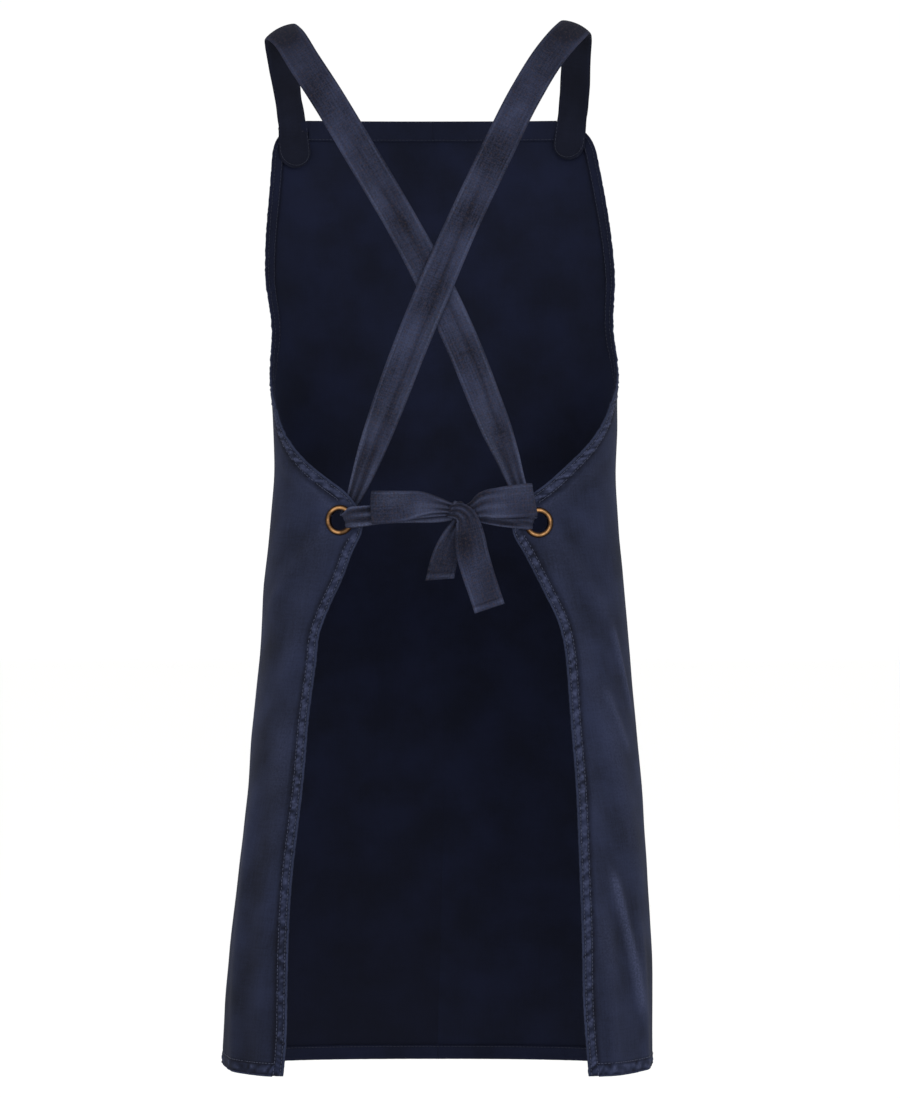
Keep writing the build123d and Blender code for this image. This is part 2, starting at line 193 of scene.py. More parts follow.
# The free edge from the bib's top to the wing's tip and down the back: in front of the
# side line as depth and drop, behind it as distance from the middle and drop.
edge_in_front = [(76, -70), (68.8, -157), (54.6, -237), (36, -317), (16, -340)]
edge_behind = {
    -1: [
        (163.5, -369), (149.3, -405), (129.9, -429), (109, -446), (90, -460), (78, -475),
        (72.3, -494), (83.1, -520), (93, -546.5), (106.8, -575), (115.6, -599), (119.6, -631),
        (124.5, -664), (129.4, -723), (143.4, -861), (146.8, -935), (148.6, -1010), (151.6, -1045),
    ],
    1: [
        (175.5, -366), (166.3, -389), (150.8, -412), (127.7, -435), (106.4, -453.6), (92, -464),
        (79, -477), (74.3, -495), (88, -523), (108.7, -564), (117.6, -582), (125.4, -608.5),
        (128.4, -631), (131.4, -664), (135.8, -723), (141.9, -861), (144.8, -951), (151, -1045),
    ],
}


def through(stations, values, at):
    """Smooth curve through values at rising stations: a cubic on each span, which takes its
    slope at each station from the neighbours on both sides."""
    stations, values, at = (np.asarray(a, float) for a in (stations, values, at))
    slopes = np.gradient(values, stations, axis=0)
    span = np.clip(np.searchsorted(stations, at) - 1, 0, len(stations) - 2)
    length = stations[span + 1] - stations[span]
    t = np.clip((at - stations[span]) / length, 0, 1)
    if values.ndim == 2:
        length, t = length[..., None], t[..., None]
    a, b = values[span], values[span + 1]
    p, q = slopes[span] * length, slopes[span + 1] * length
    return a + t * (p + t * (3 * (b - a) - 2 * p - q + t * (2 * (a - b) + p + q)))


def signed_power(value, power):
    """A power that keeps the sign of what it is taken of."""
    return np.sign(value) * np.abs(value) ** power


# Every place on the cloth is named by its run, the length along the cloth from the centre
# front, to the right, and by its drop. Tables hold the points, 2 mm apart both ways.
table_step = 2 * mm
lowest_drop, highest_drop = -1.052, -0.064
furthest_run = 0.52
table_drops = np.arange(lowest_drop, highest_drop, table_step)
table_runs = np.arange(-furthest_run, furthest_run + table_step / 2, table_step)
turn = np.radians(np.linspace(-180, 180, 2881))
oval = through(ovals[:, 0], ovals[:, 1:], table_drops)
ring_x = oval[:, 2:3] + oval[:, 0:1] * signed_power(np.sin(turn), 2 / squareness)
ring_y = oval[:, 1:2] * signed_power(np.cos(turn), 2 / squareness)
ring_steps = [np.diff(ring, prepend=ring[:, :1]) for ring in (ring_x, ring_y)]
ring_run = np.cumsum(np.hypot(*ring_steps), axis=1)
ring_run -= ring_run[:, len(turn) // 2][:, None]
wrap = [
    np.array([np.interp(table_runs, run, place) for run, place in zip(ring_run, ring)])
    for ring in (ring_x, ring_y)
]
wrap = np.stack([*wrap, np.repeat(table_drops[:, None], len(table_runs), axis=1)], axis=-1)


def unit(vectors):
    """Vectors brought to length one."""
    return vectors / np.maximum(np.linalg.norm(vectors, axis=-1, keepdims=True), 1e-12)


def outward(table):
    """Unit normals of a table of points, from the cross product of its two slopes."""
    return unit(np.cross(np.gradient(table, axis=0), np.gradient(table, axis=1)))


def look_up(table, run, drop):
    """A table's value at any run and drop, in proportion between the four entries round it."""
    column = np.clip((run - table_runs[0]) / table_step, 0, len(table_runs) - 1.001)
    row = np.clip((drop - table_drops[0]) / table_step, 0, len(table_drops) - 1.001)
    i, j = row.astype(int), column.astype(int)
    p, q = (row - i)[..., None], (column - j)[..., None]
    upper = table[i + 1, j] * (1 - q) + table[i + 1, j + 1] * q
    return (table[i, j] * (1 - q) + table[i, j + 1] * q) * (1 - p) + upper * p


def run_of(side, drop, depth=None, out=None):
    """Length from the centre front to where one side of the cloth, at one drop, has the
    given depth, or behind the side line the given distance out."""
    row = wrap[int(round((drop - table_drops[0]) / table_step))]
    half = row[table_runs * side >= 0][::side]
    lengths = np.arange(len(half)) * table_step
    if depth is not None:
        return np.interp(-depth, -half[:, 1], lengths)
    behind = half[:, 1] < 0
    return np.interp(-out, -side * half[behind, 0], lengths[behind])


edge_stations = {}
for side in (-1, 1):
    front_part = [(z * mm, run_of(side, z * mm, depth=y * mm)) for y, z in edge_in_front]
    back_part = [(z * mm, run_of(side, z * mm, out=x * mm)) for x, z in edge_behind[side]]
    edge_stations[side] = np.array(front_part + back_part)[::-1]


def edge_run(side, drop):
    """Length from the centre front to the free edge: the edge's curve, less the setback of
    the round corner where the drop is beside it."""
    above = np.clip(drop - (bib_top - bib_corner), 0, bib_corner)
    setback = bib_corner - np.sqrt(bib_corner**2 - above**2)
    return through(edge_stations[side][:, 0], edge_stations[side][:, 1], drop) - setback


def across_edge(side, drop):
    """Share of a level distance from the free edge that is square to that edge."""
    slope = (edge_run(side, drop + 1 * mm) - edge_run(side, drop - 1 * mm)) / (2 * mm)
    return 1 / np.sqrt(1 + slope**2)


# Folds are rises in the cloth, drawn as lines on it. Drag lines spread from the eyelets,
# where the ties pull, and soft hanging folds run down the wings to the hem.
runs, drops = np.meshgrid(table_runs, table_drops)


def fold(side, start, end, width, height):
    """Rise along a line between two places behind the side line, each given as distance out
    and drop: a rounded bank across the line, which dies away past its ends."""
    (a, b), (c, d) = start, end
    x0, z0 = side * run_of(side, b * mm, out=a * mm), b * mm
    x1, z1 = side * run_of(side, d * mm, out=c * mm), d * mm
    length = np.hypot(x1 - x0, z1 - z0)
    u, v = (x1 - x0) / length, (z1 - z0) / length
    along = (runs - x0) * u + (drops - z0) * v
    beside = (drops - z0) * u - (runs - x0) * v
    past = np.maximum(np.maximum(-along, along - length), 0)
    return height * mm * np.exp(-((beside / (width * mm)) ** 2) - (past / (2.5 * width * mm)) ** 2)


def swell(seed, waves, longest, shortest):
    """Gentle rise and fall over the cloth: a sum of waves in seeded directions."""
    chance = np.random.default_rng(seed)
    total = np.zeros_like(runs)
    for _ in range(waves):
        wave = 2 * np.pi / (chance.uniform(shortest, longest) * mm)
        heading, start = chance.uniform(0, np.pi), chance.uniform(0, 2 * np.pi)
        total += np.sin(wave * (runs * np.cos(heading) + drops * np.sin(heading)) + start)
    return total / waves


rise = 2.2 * mm * swell(3, 9, 420, 160) + 0.5 * mm * swell(8, 14, 90, 35)
# Painted light on the folds, carried into the cloth's colour: paler along the ridges of narrow folds
# and of the small swell and darker in its hollows, partly rubbed wear and partly painted highlight and
# shade.
ridge_wear_and_painted_light = 0.05 * swell(8, 14, 90, 35)
for side, start, end, width, height in (
    (-1, (112, -500), (158, -560), 9, 1.6),
    (-1, (108, -508), (150, -640), 12, 1.4),
    (-1, (108, -478), (146, -440), 7, 1.3),
    (-1, (104, -474), (128, -446), 4, 0.9),
    (-1, (178, -560), (186, -700), 14, 2.0),
    (-1, (150, -720), (168, -1040), 17, 3.2),
    (-1, (186, -800), (200, -1040), 13, 3.0),
    (1, (112, -478), (150, -440), 7, 1.3),
    (1, (106, -474), (130, -450), 4, 0.9),
    (1, (116, -500), (160, -570), 9, 1.5),
    (1, (110, -510), (150, -650), 12, 1.5),
    (1, (176, -604), (190, -664), 4.5, 2.4),
    (1, (170, -664), (186, -706), 5, 1.6),
    (1, (172, -700), (196, -820), 16, 2.6),
    (1, (168, -900), (176, -1040), 11, 3.0),
    (1, (176, -850), (199, -960), 6, 3.4),
    (1, (200, -900), (208, -1040), 10, 3.2),
    (1, (150, -760), (160, -900), 16, 1.6),
):
    bank = fold(side, start, end, width, height)
    rise += bank
    ridge_wear_and_painted_light += (0.16 if width < 7 else 0.05) * bank / mm
shaped = wrap + outward(wrap) * rise[..., None]


def eyelet_seat(side_name):
    """Centre and outward axis of an eyelet: the axis is the way most of its washer's area
    faces, and the centre lies on the cloth's outer face, under the flange."""
    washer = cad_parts[side_name + "_eyelet_washer"].data
    normals, areas = np.zeros(len(washer.polygons) * 3), np.zeros(len(washer.polygons))
    washer.polygons.foreach_get("normal", normals)
    washer.polygons.foreach_get("area", areas)
    normals = normals.reshape(-1, 3)
    axis = np.linalg.eigh((normals * areas[:, None]).T @ normals)[1][:, -1]
    axis *= -np.sign(axis[1])
    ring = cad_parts[side_name + "_eyelet"].data
    points = np.zeros(len(ring.vertices) * 3)
    ring.vertices.foreach_get("co", points)
    points = points.reshape(-1, 3)
    level = np.cross(axis, (0, 0, 1))
    level /= np.linalg.norm(level)
    own = np.stack([level, np.cross(level, axis), axis])
    spread = points @ own.T
    middle = (spread.max(0) + spread.min(0)) / 2
    middle[2] = spread[:, 2].max() - 1.55 * mm
    return middle @ own, axis


# The clamped cloth lies flat round each eyelet.
eyelets = {-1: eyelet_seat("left"), 1: eyelet_seat("right")}
clamped, eased = 19 * mm, 48 * mm
for side, (centre, axis) in eyelets.items():
    off = shaped - centre
    height = off @ axis
    radius = np.linalg.norm(off - height[..., None] * axis, axis=-1)
    hold = np.clip((eased - radius) / (eased - clamped), 0, 1)
    hold = hold**2 * (3 - 2 * hold) * (np.abs(height) < eased)
    shaped -= (height * hold)[..., None] * axis
facing = outward(shaped)


def pucker(length, seed):
    """Uneven gathers along a seam: waves of five lengths with seeded starts."""
    starts = np.random.default_rng(seed).uniform(0, 2 * np.pi, 5)
    waves = 2 * np.pi / (np.array([5.3, 7.1, 9.4, 12.7, 19.0]) * mm)
    return sum(np.sin(wave * length + start) for wave, start in zip(waves, starts)) / 5


def hem_relief(inset, length, band, seed, depth=0.42):
    """Rise of a turned hem at an inset from the edge: two layers puff between the stitch
    rows, each row pulls a groove, and gathers run across the band and fade beyond it."""
    share = np.clip(inset / band, 0, 1)
    puff = depth * mm * np.sin(np.pi * share) ** 0.7
    grooves = -0.4 * np.exp(-(((inset - outer_row) / (0.8 * mm)) ** 2))
    grooves = grooves - 0.7 * np.exp(-(((inset - (band - inner_row)) / (1.0 * mm)) ** 2))
    fade = np.exp(-((np.maximum(inset - 0.6 * band, 0) / (0.45 * band)) ** 2))
    gathers = 0.95 * pucker(length + 0.6 * inset, seed) * fade
    return puff + (grooves + gathers) * mm


def away_from_eyelet(points, side):
    """0 under the flange and 1 a little way outside it."""
    radius = np.linalg.norm(points - eyelets[side][0], axis=-1)
    return np.clip((radius - 15 * mm) / (7 * mm), 0, 1)


def put(name, mesh, *materials):
    """An object for a mesh, at the origin, with its materials."""
    for material in materials:
        mesh.materials.append(material)
    piece = bpy.data.objects.new(name, mesh)
    bpy.context.scene.collection.objects.link(piece)
    return piece


def grid_mesh(name, points, uv, closed=False, flip=False, drop_faces=None, **attributes):
    """Quads on a grid of points. A closed one joins its last column to its first and has
    flat ends, and it turns itself to face outwards. The map gives real metres."""
    rows, columns = points.shape[:2]
    index = np.arange(rows * columns).reshape(rows, columns)
    left, right = (index, np.roll(index, -1, axis=1)) if closed else (index[:, :-1], index[:, 1:])
    quads = np.stack([left[:-1], right[:-1], right[1:], left[1:]], -1).reshape(-1, 4)
    corners = np.stack([uv[:-1, :-1], uv[:-1, 1:], uv[1:, 1:], uv[1:, :-1]], 2).reshape(-1, 4, 2)
    flat = points.reshape(-1, 3)
    if drop_faces is not None:
        kept = ~drop_faces(flat[quads].mean(1))
        quads, corners = quads[kept], corners[kept]
    if closed:
        a, b, c, d = (flat[quads[:, k]] - flat.mean(0) for k in range(4))
        flip = np.sum(np.cross(a, b) * c) + np.sum(np.cross(a, c) * d) < 0
    if flip:
        quads, corners = quads[:, ::-1], corners[:, ::-1]
    faces, maps = quads.tolist(), corners.reshape(-1, 2)
    if closed:
        ends = [index[0].tolist(), index[-1].tolist()[::-1]]
        end_maps = [uv[0, :-1], uv[-1, :-1][::-1]]
        if not flip:
            ends = [end[::-1] for end in ends]
            end_maps = [end[::-1] for end in end_maps]
        faces += ends
        maps = np.concatenate([maps, *end_maps])
    mesh = bpy.data.meshes.new(name)
    mesh.from_pydata(flat.tolist(), [], faces)
    mesh.uv_layers.new(name="real_size").uv.foreach_set("vector", maps.astype(np.float32).ravel())
    for label, values in attributes.items():
        layer = mesh.attributes.new(label, "FLOAT", "POINT")
        layer.data.foreach_set("value", np.asarray(values, np.float32).ravel())
    mesh.shade_smooth()
    return mesh


def canvas_finish(name, deep, pale, worn, streak=0.55, relief=0.22, fleck=None, twill="X"):
    """Cotton canvas, woven plain and garment washed: slubs and streaks along both sets of threads, and
    broad blotches from the wash. Where the attribute of wear and painted light is above a half, the
    canvas is paler, in the worn colour, as rubbed wear and painted highlight. Where it is below a half,
    the canvas is darker, as painted shade. Matt, with a faint bloom of loose fibres."""
    material, tree = new_material(name)
    where = add(tree, "UVMap", uv_map="real_size")
    # The threads are drawn 1.15 mm apart, about twice their real spacing, so that they show.
    waves = 2 * np.pi / 20 / (1.15 * mm)
    weave = {"Vector": where, "Scale": waves, "Distortion": 1.2, "Detail Scale": 0.4}
    warp = add(tree, "TexWave", weave, "Fac", bands_direction=twill)
    weft = add(tree, "TexWave", weave, "Fac", bands_direction="Y")
    cross = add(tree, "Math", {0: warp, 1: weft}, operation="ADD")

    # Slubs are noise drawn out along each set of threads: its width and length, and a seed.
    slubs = []
    for wide, long, seed in ((1.6, 34, 3.1), (26, 1.5, 7.7)):
        draw = {"Scale": (1 / (wide * mm), 1 / (long * mm), 1.0), "Location": (seed, seed, 0)}
        drawn = add(tree, "Mapping", {"Vector": where, **draw})
        slubs.append(add(tree, "TexNoise", {"Vector": drawn, "Scale": 1.0, "Detail": 3.0}))
    blotch = add(tree, "TexNoise", {"Vector": where, "Scale": 1 / (55 * mm), "Detail": 4.0})
    fuzz = {"Vector": where, "Scale": 1 / (1.8 * mm), "Detail": 3.0, "Roughness": 0.7}
    grain = add(tree, "TexNoise", fuzz)
    both = add(tree, "Mix", {"Factor": 0.42, "A": slubs[0], "B": slubs[1]})
    threads = add(tree, "Mix", {"Factor": 0.5, "A": both, "B": grain})
    tone = add(tree, "Mix", {"Factor": 1 - streak, "A": threads, "B": blotch})
    spread = add(tree, "MapRange", {"Value": tone, "From Min": 0.4, "From Max": 0.6})
    tones = {0: spread, 6: linear(deep), 7: linear(pale)}
    body = add(tree, "Mix", tones, 2, data_type="RGBA")

    # Ridges are pale in frayed patches, as rubbed wear and painted highlight, and seams and hollows are
    # nearly black, as painted shade.
    wear = add(tree, "Attribute", out="Fac", attribute_name="wear")
    fray = add(tree, "TexNoise", {"Vector": where, "Scale": 1 / (2.1 * mm), "Detail": 3.0})
    frayed = add(tree, "MapRange", {"Value": fray, "From Min": 0.38, "From Max": 0.62, "To Min": 0.35})
    rubbed_and_highlit = add(tree, "MapRange", {"Value": wear, "From Min": 0.5, "From Max": 1.0})
    patchy = add(tree, "Math", {0: rubbed_and_highlit, 1: frayed}, operation="MULTIPLY")
    faded_and_highlit = add(tree, "Mix", {0: patchy, 6: body, 7: linear(worn)}, 2, data_type="RGBA")
    painted_shade_amount = add(tree, "MapRange", {"Value": wear, "From Min": 0.5, "From Max": 0.0, "To Max": 0.8})
    shade = add(tree, "Mix", {0: painted_shade_amount, 6: faded_and_highlit, 7: linear("#090a12")}, 2, data_type="RGBA")
    if fleck:
        fuzz.update({"Scale": 1 / (2.6 * mm), "Detail": 5.0})
        near = {"Value": add(tree, "TexNoise", fuzz), "From Min": 0.5, "From Max": 0.72, "To Max": 0.75}
        flecks = {0: add(tree, "MapRange", near), 6: shade, 7: linear(fleck)}
        shade = add(tree, "Mix", flecks, 2, data_type="RGBA")
    height = add(tree, "Mix", {"Factor": 0.5, "A": cross, "B": threads})
    bump = add(tree, "Bump", {"Height": height, "Strength": 0.75, "Distance": relief * mm})
    look = {
        "Base Color": shade, "Roughness": 0.92, "Specular IOR Level": 0.08, "Normal": bump,
        "Sheen Weight": 0.05, "Sheen Roughness": 0.6, "Sheen Tint": linear("#7c84a6"),
    }
    shader = add(tree, "BsdfPrincipled", look)
    add(tree, "OutputMaterial", {"Surface": shader})
    return material


washed_canvas = canvas_finish("washed_canvas", "#121521", "#1f2438", "#363b52", streak=0.52)
# The inside face and the turned-in layers of the hems take this darker canvas: painted shade of the
# apron's inside, on the same cloth as the outer face.
painted_shade_canvas = canvas_finish(
    "painted_shade_canvas_inside", "#0d101d", "#111527", "#151828", streak=0.35, relief=0.12,
)

corner_rows = bib_top - bib_corner * (1 - np.cos(np.linspace(0, np.pi / 2, 15)))
row_drops = np.unique(np.round(np.concatenate([
    corner_rows,
    np.arange(-0.345, bib_top - bib_corner, 4 * mm),
    np.arange(-0.530, -0.346, 2.2 * mm),
    np.arange(-1.005, -0.532, 3.2 * mm),
    np.linspace(hem_drop, -1.007, 19),
]), 6))[::-1]
edge_insets = np.array([18, 15, 12.6, 11.2, 10.2, 9.4, 8.6, 7.4, 6, 4.6, 3.4, 2.6, 2, 1.4, 0.7, 0]) * mm
inner_columns = 84


def cloth_grid(side):
    """Runs and drops of one half's grid: even columns from the centre front to the hem
    band, then close ones across the band."""
    edge, square = edge_run(side, row_drops), np.maximum(across_edge(side, row_drops), 0.3)
    band = edge[:, None] - edge_insets / square[:, None]
    shares = np.linspace(0, 1, inner_columns, endpoint=False)
    inner = band[:, :1] * np.concatenate([[0, 0.0004], shares[1:]])
    run = side * np.concatenate([inner, band], axis=1)
    return run, np.repeat(row_drops[:, None], run.shape[1], axis=1)


hem_lift, side_line, side_spread = 7 * mm, 285 * mm, 55 * mm
lift_top, lift_reach = -930 * mm, 105 * mm


def on_cloth(run, drop, height):
    """Points at a height over the cloth's outer face. Near the bottom they follow the hem
    line, which rises a little over each side."""
    lift = hem_lift * np.exp(-(((np.abs(run) - side_line) / side_spread) ** 2))
    hung = drop + lift * np.clip((lift_top - drop) / lift_reach, 0, 1) ** 2
    return look_up(shaped, run, hung) + look_up(facing, run, hung) * np.asarray(height)[..., None]


def edge_length(side, drop):
    """Length along the free edge from the bib's top to a drop."""
    steps = np.arange(hem_drop - 0.01, bib_top, 1 * mm)
    length = np.cumsum(1 * mm / np.maximum(across_edge(side, steps), 0.2))
    return np.interp(drop, steps, length[-1] - length)


def finished_cloth(run, drop):
    """Rise of the hems at any place on the cloth, and its wear and painted light. Above a half, the
    cloth is drawn pale, as rubbed wear on a hem's band and as painted highlight on puffs and ridges.
    Below a half, it is drawn dark, as painted shade in grooves and hollows and low on the wings."""
    side = -1 if np.mean(run) < 0 else 1
    inset = (edge_run(side, drop) - np.abs(run)) * np.maximum(across_edge(side, drop), 0.3)
    from_bottom, from_top = drop - hem_drop, bib_top - drop
    rise = hem_relief(inset, edge_length(side, drop), side_band, 21 + side)
    rise = np.where(from_bottom < inset, hem_relief(from_bottom, run, bottom_band, 31, 0.3), rise)
    rise = np.where(from_top < inset, hem_relief(from_top, run, top_band, 41, 0.3), rise)
    clear = away_from_eyelet(on_cloth(run, drop, np.zeros_like(run)), side)
    rise = rise * clear
    nearest = np.minimum(np.minimum(inset, from_bottom), from_top)
    on_band = np.clip((side_band + 1 * mm - nearest) / (1.5 * mm), 0, 1)
    groove = np.exp(-(((nearest - side_band - 0.6 * mm) / (1.3 * mm)) ** 2))
    # The hem's band is rubbed paler, as wear. It is also drawn paler on its puffs and darker in its
    # gathers, as painted light, and the groove along its inside is painted shade.
    wear = 0.5 + (on_band * (0.12 + 0.9 * (rise / mm - 0.25)) - 0.35 * groove) * clear
    wear = wear + look_up(ridge_wear_and_painted_light[..., None], run, drop)[..., 0]
    # Painted shade: the last 320 mm above the hem are drawn darker, more so on the left wing.
    low = np.clip(1 - (drop - hem_drop) / (320 * mm), 0, 1)
    wear = wear - (0.22 - 0.12 * side) * low
    return rise, np.clip(wear, 0, 1)


sides = {-1: "left", 1: "right"}
for side, name in sides.items():
    run, drop = cloth_grid(side)
    rise, wear = finished_cloth(run, drop)
    centre, axis = eyelets[side]

    def in_eyelet(middles):
        """True for faces inside the eyelet's barrel, which has a radius of 11.5 mm."""
        off = middles - centre
        height = off @ axis
        radius = np.linalg.norm(off - height[:, None] * axis, axis=1)
        return (radius < 11.5 * mm) & (np.abs(height) < 20 * mm)

    mesh = grid_mesh(
        name + "_canvas_body", on_cloth(run, drop, rise), np.stack([run, drop], -1),
        flip=side < 0, drop_faces=in_eyelet, wear=wear,
    )
    piece = put(name + "_canvas_body", mesh, washed_canvas, painted_shade_canvas)
    # The inner face of the thickened cloth takes the darker inside canvas, which is painted shade.
    thick = piece.modifiers.new("cloth_thickness", "SOLIDIFY")
    thick.thickness, thick.offset, thick.material_offset = canvas, -1.0, 1
    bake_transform(piece)
    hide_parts("front_panel", name + "_back_wing", name + "_skirt_wing")


# ---- Turned hems ----
# Every raw edge of the body is turned in twice, pressed and sewn down: 11 mm wide round
# the bib, armholes and back edges, 14 mm along the bottom and 20 mm along the bib's top.
# The turned layers lie inside, and the fold itself rounds the edge.
def even_path(path, spacing):
    """A path of run and drop walked in even steps."""
    length = np.concatenate([[0], np.cumsum(np.linalg.norm(np.diff(path, axis=0), axis=1))])
    steps = np.linspace(0, length[-1], int(round(length[-1] / spacing)) + 1)
    return np.stack([np.interp(steps, length, path[:, k]) for k in (0, 1)], -1)


def set_in(path, inset):
    """Places at insets from a path of run and drop, square to it: each row of the result is
    one place on the path, and each column one inset. The cloth lies on the path's right."""
    tangent = unit(np.gradient(path, axis=0))
    square = np.stack([tangent[:, 1], -tangent[:, 0]], -1)
    return path[:, None] + np.asarray(inset)[None, :, None] * square[:, None]


fine_drops = np.concatenate([corner_rows[:-1], np.linspace(corner_rows[-1], hem_drop, 400)])
free_edges, bottom_edges = {}, {}
for side in sides:
    edge = np.stack([edge_run(side, fine_drops), fine_drops], -1)
    free_edges[side] = even_path(edge, 2.5 * mm)
    last_run = free_edges[side][-1, 0] - side_band
    bottom_edges[side] = even_path(np.array([(last_run, hem_drop), (0.0, hem_drop)]), 3 * mm)
top_reach = min(free_edges[side][0, 0] for side in sides)
top_path = even_path(np.array([(0.0, bib_top), (top_reach, bib_top)]), 3 * mm)


def fold_profile(band):
    """Closed section of a turned hem, as inset from the edge and depth below the cloth's
    outer face: a lip over the edge, the round fold, and the doubled layers inside."""
    return np.array([
        (1.0, -0.10), (0.3, -0.15), (-0.4, 0.10), (-0.8, 0.7), (-0.9, 1.4), (-0.75, 2.1),
        (-0.3, 2.6), (0.6, 2.85), (2.0, 2.7), (4.0, 2.95), (band - 4, 2.95), (band - 1.8, 2.75),
        (band - 0.4, 2.6), (band, 2.0), (band - 0.4, 1.3), (band - 2, 1.1), (4.0, 1.08),
        (1.6, 1.08), (1.3, 0.6),
    ]) * mm


hem_canvas = canvas_finish("washed_canvas_hem", "#151927", "#242a3e", "#333950")
lip_points = 4
rubbed_fold = 0.62


def turned_hem(name, path, band, side):
    """Hem strip: the fold's section carried along an edge of the cloth."""
    profile = fold_profile(band / mm)
    place = set_in(path, profile[:, 0])
    run, drop = side * place[..., 0], place[..., 1]
    rise = finished_cloth(run, np.clip(drop, hem_drop, bib_top))[0]
    points = on_cloth(run, drop, rise - profile[:, 1])
    length = np.arange(len(path)) * np.linalg.norm(path[1] - path[0])
    around = np.concatenate([profile[:, 0] + profile[:, 1], [profile[0].sum() + 3 * mm]])
    uv = np.stack(np.broadcast_arrays(length[:, None], around[None, :]), -1)
    mesh = grid_mesh(name, points, uv, closed=True, wear=np.full(run.shape, rubbed_fold))
    # The turned-in layers take the darker inside canvas, which is painted shade.
    turned_in = np.tile(np.arange(len(profile)) >= lip_points, len(path) - 1)
    mesh.polygons.foreach_set("material_index", np.append(turned_in, [1, 1]).astype(np.int32))
    return put(name, mesh, hem_canvas, painted_shade_canvas)


for side, name in sides.items():
    strip = turned_hem(name + "_free_edge_hem", free_edges[side], side_band, side)
    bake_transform(strip)
    covered = ("_bib_side_hem", "_armhole_hem", "_wing_edge_hem", "_skirt_edge_hem")
    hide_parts(*(name + node for node in covered))
    base = turned_hem(name + "_bottom_hem", bottom_edges[side], bottom_band, side)
    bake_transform(base)
    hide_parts("front_bottom_hem", name + "_skirt_bottom_hem")
    top = turned_hem(name + "_bib_top_hem", top_path, top_band, side)
    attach(top, "apron")
    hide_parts("bib_top_hem")


# ---- Topstitching ----
# Navy core-spun thread holds the hems: two rows round the armholes and back edges, and one
# along the bottom and the bib's top. Each stitch is 3 mm of thread that dips in at both ends.
stitch_length = 3.0 * mm
stitch_pitch = 3.7 * mm
over_cloth, under_hem = 0.12 * mm, -2.9 * mm


def sewing_thread(name, dark, light):
    """Polyester thread with a cotton wrap: twisted, slightly glossier than the cloth."""
    material, tree = new_material(name)
    where = add(tree, "TexCoord", out="Object")
    twist = add(tree, "TexNoise", {"Vector": where, "Scale": 1 / (10 / 9 * mm)})
    shades = {0: twist, 6: linear(dark), 7: linear(light)}
    tint = add(tree, "Mix", shades, 2, data_type="RGBA")
    bump = add(tree, "Bump", {"Height": twist, "Strength": 0.4, "Distance": 0.1 * mm})
    look = {"Base Color": tint, "Roughness": 0.6, "Specular IOR Level": 0.3, "Normal": bump}
    shader = add(tree, "BsdfPrincipled", look)
    add(tree, "OutputMaterial", {"Surface": shader})
    return material


top_thread = sewing_thread("navy_sewing_thread", "#262a3c", "#474d64")
# The thread on the inside is drawn darker than the top thread: painted shade of the apron's inside.
bobbin_thread = sewing_thread("painted_shade_bobbin_thread", "#141724", "#25293a")

# One stitch: three rings of five points along it and a point at each end.
ring_turns = np.radians(np.arange(5) * 72.0)
stitch_points = [(-0.5, 0.0, -0.15)]
for place, radius in ((-0.42, 0.20), (0.0, 0.30), (0.42, 0.20)):
    sag = 0.1 - 0.3 * place**2
    stitch_points += [(place, radius * np.cos(t), radius * np.sin(t) + sag) for t in ring_turns]
stitch_points = np.array(stitch_points + [(0.5, 0.0, -0.15)]) * (stitch_length, mm, mm)
corner, beside = np.arange(5), (np.arange(5) + 1) % 5
tips = [(0 * corner, 1 + beside, 1 + corner), (11 + corner, 11 + beside, 0 * corner + 16)]
walls = [(k + corner, k + beside, k + 5 + beside, k + 5 + corner) for k in (1, 6)]
stitch_faces = [np.concatenate([np.stack(face, -1) for face in faces]) for faces in (tips, walls)]


def stitches(name, rows, thread):
    """Stitches along rows, each given as points and the directions that they lie out in."""
    place, out = (np.concatenate(part) for part in zip(*rows))
    along = np.concatenate([unit(np.gradient(points, axis=0)) for points, _ in rows])
    axes = np.stack([along, unit(np.cross(out, along)), out], 1)
    points = place[:, None] + np.einsum("pk,nkx->npx", stitch_points, axes)
    first = np.arange(len(place))[:, None, None] * len(stitch_points)
    faces = []
    for shape in stitch_faces:
        faces += (first + shape).reshape(-1, shape.shape[1]).tolist()
    mesh = bpy.data.meshes.new(name)
    mesh.from_pydata(points.reshape(-1, 3).tolist(), [], faces)
    mesh.shade_smooth()
    return put(name, mesh, thread)


def row_on_cloth(side, path, inset, face):
    """A row of stitches on the cloth at an inset from an edge: on its outer face, or with
    face -1 on the turned layers inside."""
    place = set_in(even_path(path, stitch_pitch), [inset])[:, 0]
    run, drop = side * place[:, 0], place[:, 1]
    height = finished_cloth(run, drop)[0] + (over_cloth if face > 0 else under_hem)
    points = on_cloth(run, drop, height)
    clear = away_from_eyelet(points, side) > 0.6
    return points[clear], face * look_up(facing, run, drop)[clear]


sewn_faces = ((1, "_hem_stitching", top_thread), (-1, "_bobbin_stitching", bobbin_thread))
for side, name in sides.items():
    free_edge = free_edges[side][4:-1]
    seams = [
        (free_edge, outer_row),
        (free_edge, side_band - inner_row),
        (bottom_edges[side], bottom_band - inner_row),
        (top_path, top_band - inner_row),
    ]
    for face, label, thread in sewn_faces:
        rows = [row_on_cloth(side, path, inset, face) for path, inset in seams]
        sewn = stitches(name + label, rows, thread)
        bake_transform(sewn)


# ---- Eyelets ----
# Pressed brass eyelets with an aged finish, clamped through the doubled corner of each wing over a
# washer. They are bright along the crown of the rim, as polish and painted highlight. They are brown
# towards the rim's edges, in the hollows and round it, as patina and painted dark reflection.
crown_radius = 12.3 * mm


